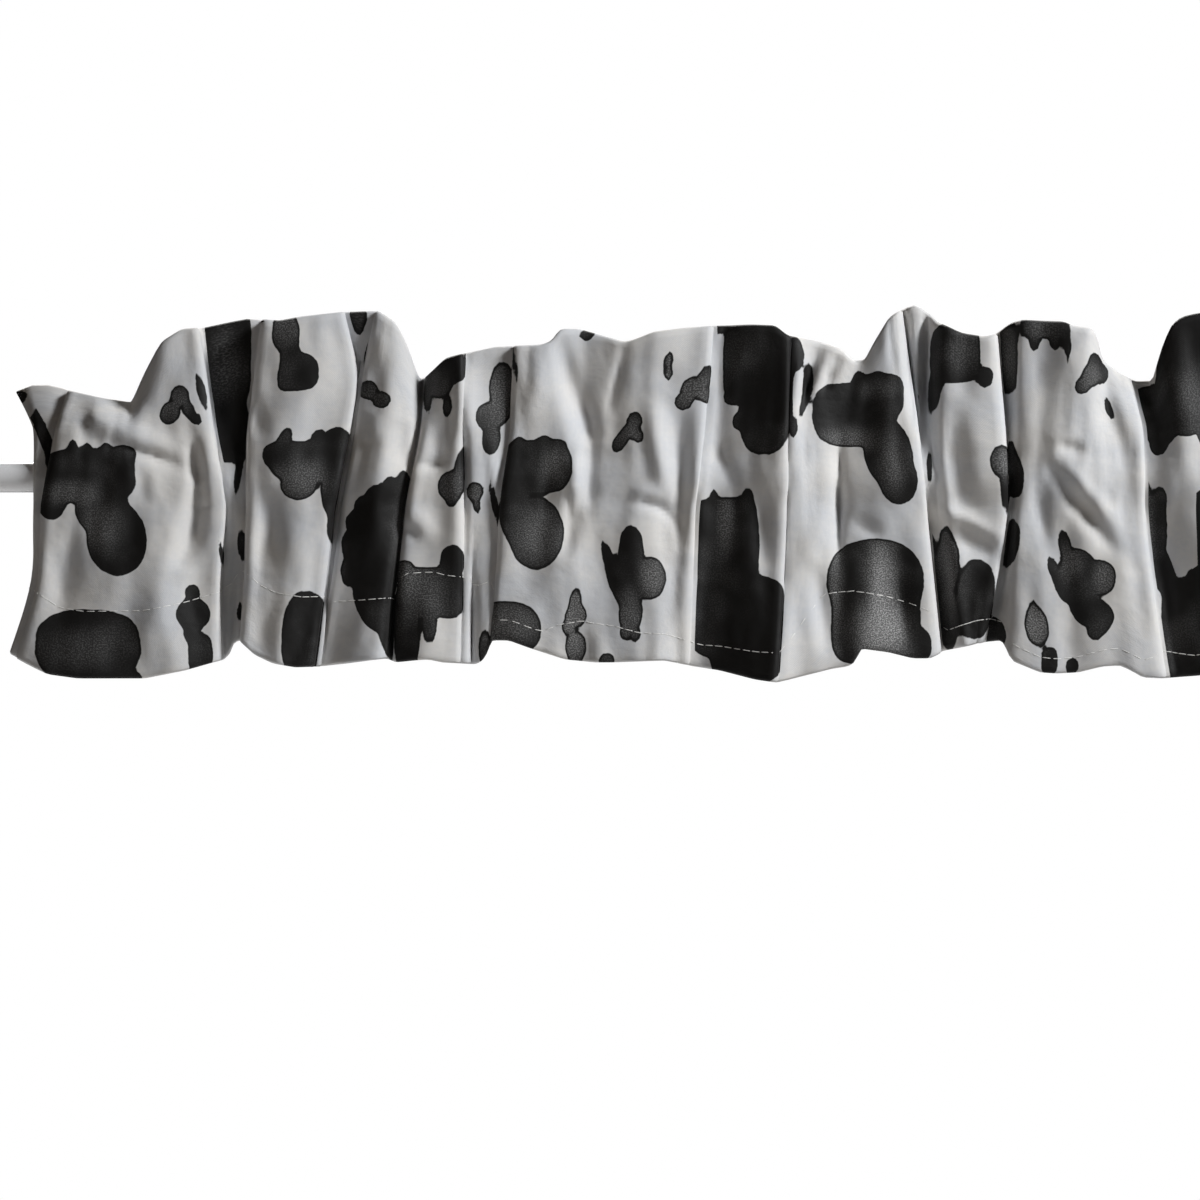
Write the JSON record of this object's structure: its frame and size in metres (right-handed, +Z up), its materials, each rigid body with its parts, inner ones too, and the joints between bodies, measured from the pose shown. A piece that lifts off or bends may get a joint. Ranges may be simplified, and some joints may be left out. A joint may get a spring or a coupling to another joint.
{
  "type": "window valance on a curtain rod",
  "caption": "Gathered cotton valance in a black and white cow print, with a rod pocket and a ruffled header above it, on a plain round white curtain rod.",
  "frame": {"origin": "middle of the flat left end of the curtain rod", "axes": "+X along the rod towards its right end, +Z up, -Y out into the room, the way the valance faces"},
  "size_m": [0.77, 0.0414, 0.1866],
  "materials": {
    "white_paint": "smooth satin white",
    "printed_cotton": "plain weave cotton, white with black cow spots"
  },
  "bodies": {
    "root": {"rod": "white_paint", "valance": "printed_cotton"}
  },
  "joints": []
}
